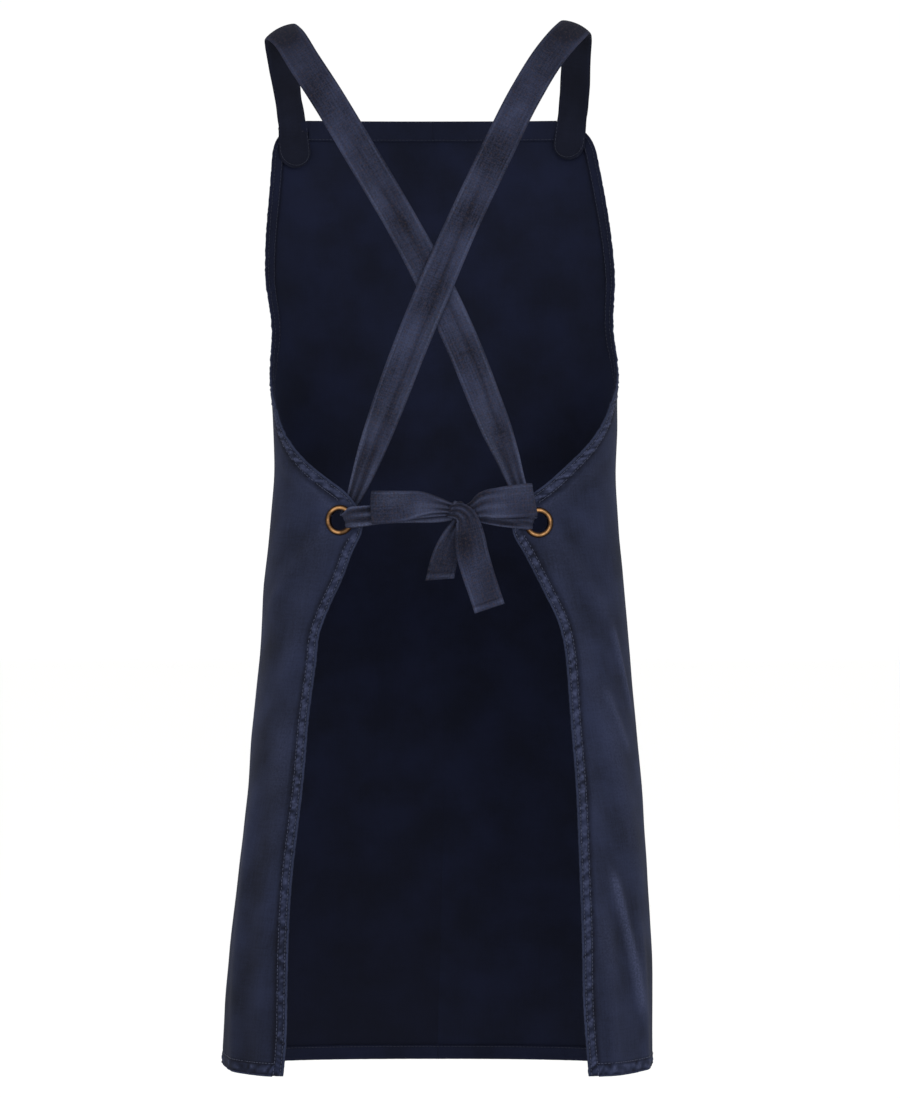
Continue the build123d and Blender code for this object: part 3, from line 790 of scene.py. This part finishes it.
def brass(name, centre, axis):
    """Aged brass for the eyelet at a centre and axis. It is bright along the crown of its rim, as
    polish and painted highlight. It is brown towards the rim's edges, where the surface turns from the
    axis, and in the hollows, as patina and painted dark reflection."""
    material, tree = new_material(name)
    where = add(tree, "TexCoord", out="Object")
    mottle = add(tree, "TexNoise", {"Vector": where, "Scale": 1 / (100 / 11 * mm), "Detail": 4.0})
    scratches = add(tree, "TexNoise", {"Vector": where, "Scale": 1 / (2 / 3 * mm)})
    off = add(tree, "VectorMath", {0: where, 1: centre}, operation="SUBTRACT")
    round_axis = add(tree, "VectorMath", {0: off, 1: axis}, operation="CROSS_PRODUCT")
    radius = add(tree, "VectorMath", {0: round_axis}, "Value", operation="LENGTH")
    from_crown = add(tree, "Math", {0: radius, 1: crown_radius}, operation="SUBTRACT")
    off_crown = add(tree, "Math", {0: from_crown}, operation="ABSOLUTE")
    fall = {"From Min": 0.2 * mm, "From Max": 1.8 * mm, "To Min": 1.0, "To Max": 0.0}
    crown = add(tree, "MapRange", {"Value": off_crown, **fall})
    normal = add(tree, "NewGeometry", out="Normal")
    facing_out = add(tree, "VectorMath", {0: normal, 1: axis}, "Value", operation="DOT_PRODUCT")
    level = add(tree, "MapRange", {"Value": facing_out, "From Min": 0.5, "From Max": 0.95})
    worn = add(tree, "MapRange", {"Value": mottle, "From Min": 0.42, "From Max": 0.62, "To Min": 0.22})
    # The crown band, where the face looks along the axis, is drawn bright: polish and painted
    # highlight. The rest is brown: patina and painted dark reflection.
    rubbed_and_highlit = add(tree, "Math", {0: crown, 1: level}, operation="MULTIPLY")
    polish_and_highlight = add(tree, "Math", {0: rubbed_and_highlit, 1: worn}, operation="MULTIPLY")
    tones = {0: polish_and_highlight, 6: linear("#241811"), 7: linear("#b88a5c")}
    tint = add(tree, "Mix", tones, 2, data_type="RGBA")
    rough = add(tree, "MapRange", {"Value": scratches, "To Min": 0.3, "To Max": 0.5})
    dome = add(tree, "Math", {0: crown, 1: 0.8}, operation="POWER")
    bump = add(tree, "Bump", {"Height": dome, "Strength": 1.0, "Distance": 1.0 * mm})
    look = {"Base Color": tint, "Metallic": 1.0, "Roughness": rough, "Normal": bump}
    shader = add(tree, "BsdfPrincipled", look)
    add(tree, "OutputMaterial", {"Surface": shader})
    return material


for side, name in sides.items():
    finish = brass("aged_brass_" + name, *(values.tolist() for values in eyelets[side]))
    for part in ("_eyelet", "_eyelet_washer"):
        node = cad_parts[name + part]
        node.data.materials.clear()
        node.data.materials.append(finish)


# ---- Shoulder straps ----
# Each strap is a 34 mm tube of the same canvas, pressed flat and edge stitched. Its rounded
# end is sewn inside the bib's corner. It goes over the shoulder, crosses the back, and is
# gathered up where it goes in behind the far wing, out through the eyelet, and on to the
# knot as a tie.
strap_width = 34 * mm
strap_canvas = canvas_finish(
    "washed_canvas_strap", "#0f121c", "#2d3247", "#444a61", streak=0.6,
    fleck="#33292a", twill="DIAGONAL",
)
# The underside, which faces into the apron, is drawn darker: painted shade on the same canvas.
strap_inside = canvas_finish(
    "painted_shade_strap_underside", "#0c0e18", "#141725", "#1a1d2c", streak=0.5, relief=0.14,
)
face_count = 23
face_places = np.sin(np.linspace(-np.pi / 2, np.pi / 2, face_count))
section = np.concatenate([face_places, face_places[-2:0:-1]])
is_outer = np.concatenate([np.ones(face_count), -np.ones(face_count - 2)])


def route_lengths(stations):
    """Length along a route from its start to each of its stations."""
    centres = np.array([station[0] for station in stations]) * mm
    return np.concatenate([[0], np.cumsum(np.linalg.norm(np.diff(centres, axis=0), axis=1))])


def carried_strap(name, stations, creases, start_length, spacing, painted_shade_to=0.0, slant=0.0):
    """A flat strap carried along a smooth path. Each station is a centre in mm, the way the
    strap's width points, its width and its thickness in mm. The section is flat with round
    edges. Creases give a rise for each length along the strap and share of its half width.
    One face takes the darker underside canvas, as painted shade, up to a given length along the strap,
    and the strap is also drawn darker near its start, as painted shade. The end is cut square, or one
    side is longer than the middle by the slant."""
    length = route_lengths(stations)
    centres, width_ways, widths, thicknesses = (np.array(part, float) for part in zip(*stations))
    steps = np.linspace(0, length[-1], int(length[-1] / spacing) + 2)
    middle = through(length, centres * mm, steps)
    along = unit(np.gradient(middle, steps, axis=0))
    width_way = through(length, width_ways, steps)
    width_way = unit(width_way - np.sum(width_way * along, axis=1, keepdims=True) * along)
    out = np.cross(width_way, along)
    widths = through(length, widths * mm, steps)
    thicknesses = through(length, thicknesses * mm, steps)
    edge = np.sqrt(1 - np.abs(section) ** 8)
    ridge = creases(steps[:, None], section[None, :]) * mm
    half = 0.5 * thicknesses[:, None] * (is_outer * edge)[None, :]
    points = middle[:, None] + (widths[:, None] / 2 * section)[..., None] * width_way[:, None]
    points = points + (half + ridge)[..., None] * out[:, None]
    near_end = np.clip(1 - (steps[-1] - steps) / (22 * mm), 0, 1)[:, None] * section
    points = points + (slant * near_end)[..., None] * along[:, None]
    across = np.concatenate([section, section[:1]]) * strap_width / 2
    across = across + np.concatenate([0 * face_places, np.full(face_count - 1, 0.1)])
    uv = np.stack(np.broadcast_arrays(across[None, :], steps[:, None] + start_length), -1)
    edge_line = np.exp(-(((np.abs(section) - 0.86) / 0.05) ** 2))
    # Painted shade: the strap is drawn darker near its start, inside the bib and over the shoulder.
    painted_shade_near_start = 0.17 * np.clip(1.6 - steps / 0.26, 0, 1)[:, None] * (painted_shade_to > 0)
    # Painted light on the creases: paler on their ridges and darker in their hollows. The pale line
    # along each edge is rubbed wear.
    wear = 0.5 + 0.22 * edge_line + np.clip(0.42 * ridge / mm, -0.5, 0.3) - painted_shade_near_start
    wear = np.clip(wear - 0.16 * (painted_shade_to == 0), 0, 1)
    mesh = grid_mesh(name, points, uv, closed=True, wear=np.broadcast_to(wear, points.shape[:2]))
    inner = (is_outer > 0)[None, :] & (steps[:-1, None] < painted_shade_to)
    index = np.append(inner.ravel(), [False, False]).astype(np.int32)
    mesh.polygons.foreach_set("material_index", index)
    return put(name, mesh, strap_canvas, strap_inside)


def bib_depth(x, z):
    """Depth of the bib at a place across and up, read from the front of its oval."""
    row = wrap[int(round((z - table_drops[0]) / table_step))]
    front = row[:, 1] > 0
    return np.interp(x, row[front, 0], row[front, 1])


# The tip of each sewn end, across and up in mm, and how far it leans out for each mm up.
strap_tips = {-1: (-142.8, -130.5, -0.10), 1: (131.0, -122.0, 0.12)}
end_radius = 17


def sewn_end(side):
    """Stations up the inside of the bib for a strap's rounded end, from its tip."""
    tip_x, tip_z, lean = strap_tips[side]
    stations = []
    for up in (0.3, 1.2, 3, 6, 10, 14, 17, 24, 34, 45):
        x, z = (tip_x + lean * up) * mm, (tip_z + up) * mm
        y = bib_depth(x, z)
        slope = (bib_depth(x + 5 * mm, z) - y) / (5 * mm)
        half = np.sqrt(end_radius**2 - (end_radius - min(up, end_radius)) ** 2)
        turning = (0.45 if side < 0 else -0.3) * np.clip((up - 18) / 30, 0, 1)
        centre = (x / mm, y / mm - 5.2, z / mm)
        stations.append((centre, (1, slope + turning, 0), 1.94 * half, 1.8))
    return stations


full = (34.0, 2.0)
routes = {
    "left": sewn_end(-1) + [
        ((-150, 68, -68), (0.75, 0.62, 0.05), 33, 2.0),
        ((-152, 61, -52), (0.76, 0.6, 0.08), 33.5, 2.0),
        ((-155.5, 46, -28), (0.78, 0.58, 0.1), *full),
        ((-158, 23, -6), (0.82, 0.5, 0.2), *full),
        ((-158, 4, 1.5), (0.84, 0.3, 0.46), *full),
        ((-149.5, -18, -5), (0.86, 0.2, 0.5), 33, 2.0),
        ((-132, -45, -33), (0.86, 0.05, 0.5), 32.5, 2.0),
        ((-112, -66, -64.5), (0.86, 0, 0.5), 32.5, 2.0),
        ((-72, -92, -132), (0.86, 0, 0.5), 32.5, 2.0),
        ((-33.5, -106, -198), (0.87, 0, 0.5), 32.5, 2.0),
        ((-2, -111.5, -257), (0.89, 0, 0.45), *full),
        ((26, -111.5, -317), (0.93, 0, 0.38), 33.5, 2.0),
        ((49, -107, -375), (0.94, 0.05, 0.37), 32, 2.1),
        ((59, -104, -400), (0.94, 0.08, 0.37), 30, 2.2),
        ((69, -101, -425), (0.94, 0.1, 0.37), 24.5, 2.4),
        ((79, -94, -453), (0.94, 0.1, 0.37), 18, 2.8),
        ((88, -86.5, -473), (0.93, 0, 0.37), 14, 3.2),
        ((92.5, -84, -484), (0.85, 0, 0.5), 13, 3.2),
        ((93.4, -90, -489.6), (0.4, 0, 0.9), 13.5, 3.2),
        ((92.6, -97.5, -490), (0.05, 0, 1), 15, 3.0),
        ((88, -103.6, -488.6), (0.0, 0, 1), 17, 2.8),
        ((78, -106.2, -487), (0.05, 0, 1), 17.5, 2.6),
        ((60, -106, -485), (0.05, 0, 1), 17, 2.6),
        ((42, -106, -482.5), (0, 0, 1), 15, 3.0),
        ((30, -107, -481), (0, 0, 1), 13, 4.0),
    ],
    "right": sewn_end(1) + [
        ((138, 67.5, -60), (0.82, -0.5, 0), 33, 2.0),
        ((138.8, 60, -46), (0.83, -0.5, 0), 33.5, 2.0),
        ((139.6, 44, -21), (0.83, -0.55, -0.05), 33, 2.0),
        ((140, 22, 0), (0.85, -0.45, -0.2), 32.5, 2.0),
        ((138.8, 3, 6), (0.87, -0.3, -0.42), 32, 2.0),
        ((131.5, -18, -1), (0.86, -0.2, -0.5), 32, 2.0),
        ((110.5, -44, -27), (0.88, -0.05, -0.48), 31.5, 2.0),
        ((87.5, -66, -65.5), (0.89, 0, -0.45), 32, 2.0),
        ((54.5, -94, -133), (0.91, 0, -0.42), 32.5, 2.0),
        ((24, -109, -198), (0.91, 0, -0.42), 32.5, 2.0),
        ((-1.5, -116, -257), (0.92, 0, -0.4), *full),
        ((-26.5, -115, -317), (0.93, 0, -0.38), 33.5, 2.0),
        ((-48.5, -109, -375), (0.94, 0.0, -0.37), 31.5, 2.1),
        ((-67, -102, -425), (0.94, -0.1, -0.34), 26, 2.4),
        ((-76.5, -94.5, -451), (0.95, -0.1, -0.3), 20, 2.8),
        ((-84.5, -87, -471), (0.95, 0, -0.3), 14, 3.2),
        ((-89.5, -83.5, -482), (0.85, 0, -0.5), 13, 3.2),
        ((-90.5, -90, -487), (0.4, 0, -0.9), 14, 3.2),
        ((-89.6, -97.5, -487), (0.05, 0, -1), 17, 3.0),
        ((-84.5, -104.3, -485), (0, 0, -1), 21, 2.8),
        ((-74, -107, -483.8), (0, 0, -1), 20.5, 2.6),
        ((-56, -106, -482), (0, 0, -1), 19, 2.6),
        ((-30, -105, -481), (0, 0, -1), 19, 2.6),
        ((0, -105.5, -481), (0, 0, -1), 18, 3.0),
        ((20, -107, -481), (0, 0, -1), 13, 4.0),
    ],
}


def strap_creases(side, gathered_at):
    """An arch over the shoulder, a soft fold along the strap, pleats where it is gathered to
    pass the eyelet, and creases along the tie beyond."""
    def creases(length, share):
        before = np.clip((length - gathered_at + 0.12) / 0.10, 0, 1) ** 1.5
        tie = np.clip((length - gathered_at - 0.01) / 0.02, 0, 1)
        soft = np.clip((length - 0.30) / 0.12, 0, 1) * (1 - before)
        place = share - 0.12 - 0.15 * np.sin(length * 14)
        lengthwise = -0.8 * np.exp(-((place / 0.14) ** 2))
        near = np.exp(-(((length - gathered_at) / 0.05) ** 2))
        pleats = 1.3 * np.cos(2.6 * np.pi * share + side)
        pleats = pleats - 1.0 * np.exp(-(((share + 0.1) / 0.12) ** 2))
        flat = np.cos(2.2 * np.pi * share + 9 * length) * (0.45 + 0.7 * near)
        at_eyelet = 1 - 0.8 * np.exp(-(((length - gathered_at - 0.004) / 0.016) ** 2))
        shoulder = -2.6 * (1 - share**2) * np.exp(-(((length - 0.165) / 0.034) ** 2))
        ripple = shoulder + 0.25 * np.sin(length / 0.021 + 2 * share) * np.sin(length / 0.037)
        return soft * lengthwise + (before * (1 - tie) * pleats + tie * flat) * at_eyelet + ripple
    return creases


# The station at which each strap lies in its eyelet. Up to three stations before it, one face of the
# strap is drawn darker: painted shade.
eyelet_stations = {"left": 28, "right": 27}
for side, name in sides.items():
    lengths = route_lengths(routes[name])
    in_hole = eyelet_stations[name]
    crease = strap_creases(side, lengths[in_hole])
    painted_shade_until = lengths[in_hole - 3]
    piece = carried_strap(name + "_strap", routes[name], crease, side * 1.0, 2.2 * mm, painted_shade_until)
    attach(piece, "apron")
    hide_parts(name + "_shoulder_strap", name + "_strap_end", name + "_tie")


# The rounded ends are sewn to the bib with a row 2.8 mm inside their edge.
row_radius = end_radius - 2.8
for side, name in sides.items():
    tip_x, tip_z, lean = strap_tips[side]
    turns = np.linspace(-0.5 * np.pi, 0.5 * np.pi, 15)
    bend = np.stack([row_radius * np.sin(turns), end_radius - row_radius * np.cos(turns)], -1)
    ups = np.arange(20.7, 42, 3.7)
    left_run = np.stack([np.full_like(ups, -row_radius), ups], -1)[::-1]
    row = np.concatenate([left_run, bend, left_run[::-1] * (-1, 1)])
    x = (tip_x + row[:, 0] + lean * row[:, 1]) * mm
    z = (tip_z + row[:, 1]) * mm
    y = np.array([bib_depth(*place) for place in zip(x, z)])
    points = np.stack([x, y - 6.35 * mm, z], -1)
    inwards = np.tile([0.0, -1.0, 0.0], (len(points), 1))
    sewn = stitches(name + "_strap_end_stitching", [(points, inwards)], bobbin_thread)
    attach(sewn, "apron")


# ---- Knot ----
# The middle of the bow: one strap wrapped once round the other, pulled tight so that its
# full width is pleated into 22 mm.
knot_low, knot_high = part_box("bow_knot")
knot_x, knot_z = (knot_low.x + knot_high.x) / 2 / mm + 2, (knot_low.z + knot_high.z) / 2 / mm - 1.5
knot_y = -111.0
knot_radius = 7.2
knot_route = []
for turned in np.radians(np.arange(70, 435, 24)):
    centre = (
        knot_x + 2.0 * np.sin(turned + 0.6),
        knot_y + knot_radius * np.cos(turned),
        knot_z - 0.6 + knot_radius * np.sin(turned),
    )
    knot_route.append((centre, (1, 0.0, -0.36), 22 + 3 * np.cos(turned + np.pi), 2.6))


def knot_creases(length, share):
    """Three pleats round the knot, slanting a little as they go."""
    return 1.0 * np.cos(2.5 * np.pi * share + 40 * length) - 0.5 * share**4


knot = carried_strap("bow_knot_wrap", knot_route, knot_creases, 2.9, 1.2 * mm)
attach(knot, "apron")
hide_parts("bow_knot")


# ---- Bow loops ----
# Each loop is the strap doubled back on itself: flat and full width at its outer fold,
# pleated to a few millimetres where the knot grips both its layers.
loop_routes = {
    "left": [
        ((27, -113.5, -476.5), (0, 0, 1), 7, 3.0),
        ((14, -114.5, -475.5), (0, 0, 1), 10, 2.8),
        ((1.3, -115.4, -473), (0.05, 0, 1), 15.5, 2.4),
        ((-16.8, -115.8, -471.5), (0.05, 0, 1), 24.5, 2.0),
        ((-35, -115.8, -474), (0, 0, 1), 30.5, 2.0),
        ((-52, -115.5, -475), (0, 0, 1), 32.5, 2.0),
        ((-61, -115.1, -475.2), (0, 0, 1), 33, 2.0),
        ((-64.2, -113.6, -475.2), (0, 0, 1), 33, 2.0),
        ((-61, -112.2, -475.2), (0, 0, 1), 33, 2.0),
        ((-50, -112.0, -475), (0, 0, 1), 32.5, 2.0),
        ((-30, -111.8, -474.5), (0, 0, 1), 27, 2.0),
        ((-8, -111.6, -476), (0, 0, 1), 18, 2.2),
        ((12, -110, -478), (0, 0, 1), 11, 2.6),
        ((26, -110, -479), (0, 0, 1), 8, 3.0),
    ],
    "right": [
        ((25, -113.5, -478), (0, 0, 1), 8, 3.0),
        ((36, -115, -476.5), (0, 0, 1), 17, 2.6),
        ((46, -115.6, -472.5), (-0.05, 0, 1), 26, 2.2),
        ((62, -115.9, -470.5), (-0.08, 0, 1), 30.5, 2.0),
        ((78, -115.7, -469), (-0.12, 0, 1), 32.5, 2.0),
        ((91, -115.4, -467.8), (-0.16, 0, 1), 33, 2.0),
        ((95.2, -113.6, -467.5), (-0.17, 0, 1), 33, 2.0),
        ((91.5, -112.3, -467.8), (-0.16, 0, 1), 33, 2.0),
        ((80, -112.1, -469), (-0.12, 0, 1), 32, 2.0),
        ((60, -111.9, -471.5), (-0.05, 0, 1), 26, 2.0),
        ((42, -111.6, -475.5), (0, 0, 1), 16, 2.4),
        ((26, -110, -479), (0, 0, 1), 8, 3.0),
    ],
}


def loop_creases(total, seed):
    """Pleats that fan out from the knot at both ends of a loop and fade by half way."""
    def creases(length, share):
        from_knot = np.minimum(length, total - length)
        near = np.exp(-((from_knot / 0.028) ** 2))
        fan = np.cos((2.3 + 0.4 * seed) * np.pi * share + seed) * near * 1.7
        bow = 0.9 * (1 - share**2) * np.clip(from_knot / 0.04, 0, 1)
        bow = bow * np.clip((total / 2 - from_knot) / 0.03, 0, 1)
        soft = 0.7 * np.sin(from_knot / 0.014 + 2.2 * share + seed)
        wavy = soft * np.clip(from_knot / 0.03, 0, 1) * 0.6
        return fan + np.where(length < total / 2, bow, -0.3 * bow) + wavy
    return creases


for side, name in sides.items():
    route = loop_routes[name]
    total = route_lengths(route)[-1]
    crease = loop_creases(total, 1.3 + 0.5 * side)
    piece = carried_strap(name + "_loop_of_bow", route, crease, side * 3.3, 1.6 * mm)
    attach(piece, name + "_bow_loop")
    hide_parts(name + "_bow_loop")


# ---- Bow tails ----
# The straps' loose ends hang from the knot, the right one longer and in front. Each end is
# turned up 7 mm, and the seam across it is a pressed groove.
tail_routes = {
    "left": [
        ((25, -110, -480), (1, 0, 0), 12, 3.0),
        ((21, -109.8, -490), (0.98, 0.05, 0.1), 14, 2.6),
        ((15, -109.6, -503), (0.97, 0.1, 0.12), 20, 2.2),
        ((9.5, -109.5, -518), (0.97, 0.12, 0.08), 25, 2.0),
        ((5.5, -109.4, -532), (0.98, 0.08, 0.08), 27, 2.0),
        ((2.5, -109.2, -546), (1, 0.05, 0.1), 27.5, 2.0),
    ],
    "right": [
        ((10, -113, -480), (0, 0, 1), 10, 3.0),
        ((16, -118.5, -479), (0.15, 0, 1), 14, 2.8),
        ((22.5, -121.5, -479.8), (0.5, 0, 0.85), 18, 2.8),
        ((28, -122, -484.8), (0.85, 0, 0.5), 21, 2.8),
        ((30.5, -121.2, -493), (0.98, 0, 0.1), 25, 2.6),
        ((32, -120.4, -503), (1, 0, 0.02), 29, 2.2),
        ((34.5, -119.8, -520), (0.98, 0, 0.2), 31.5, 2.0),
        ((40, -119.2, -540), (0.96, 0, 0.28), 31.5, 2.0),
        ((46, -118.8, -558), (0.94, 0, 0.34), 31, 2.0),
        ((51.5, -118.4, -574.5), (0.92, 0, 0.4), 31, 2.0),
    ],
}


def tail_creases(total, seed):
    """Pleats at the knot, a dent below it, and the step and roll of the turned end."""
    def creases(length, share):
        near = np.exp(-((length / 0.022) ** 2))
        pleats = 1.7 * np.cos(3.0 * np.pi * share + seed) * near
        below = ((length - total + 0.064) / 0.013) ** 2 + ((share + 0.1 * seed) / 0.5) ** 2
        dent = -0.5 * np.exp(-below)
        roll = 0.7 * np.exp(-(((length - total + 3.5 * mm) / (2.4 * mm)) ** 2))
        groove = -0.5 * np.exp(-(((length - total + 7 * mm) / (0.9 * mm)) ** 2))
        return pleats + dent + roll + groove + 0.3 * np.sin(length / 0.013 + 2 * share + seed)
    return creases


for side, name in sides.items():
    route = tail_routes[name]
    total = route_lengths(route)[-1]
    crease = tail_creases(total, 1.5 + 0.8 * side)
    slant = -4.0 * mm * (side < 0)
    piece = carried_strap(
        name + "_tail_of_bow", route, crease, side * 4.1, 1.4 * mm, slant=slant,
    )
    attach(piece, name + "_bow_tail")
    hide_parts(name + "_bow_tail", name + "_tail_hem")


# ---- What the cloth was cut to ----
# Each half of the body is as wide as the cloth from the centre front to the widest point of
# the wing, and as long as from the bib's top to the hem, with the edges cut away.
for side, name in sides.items():
    edge = edge_run(side, row_drops)
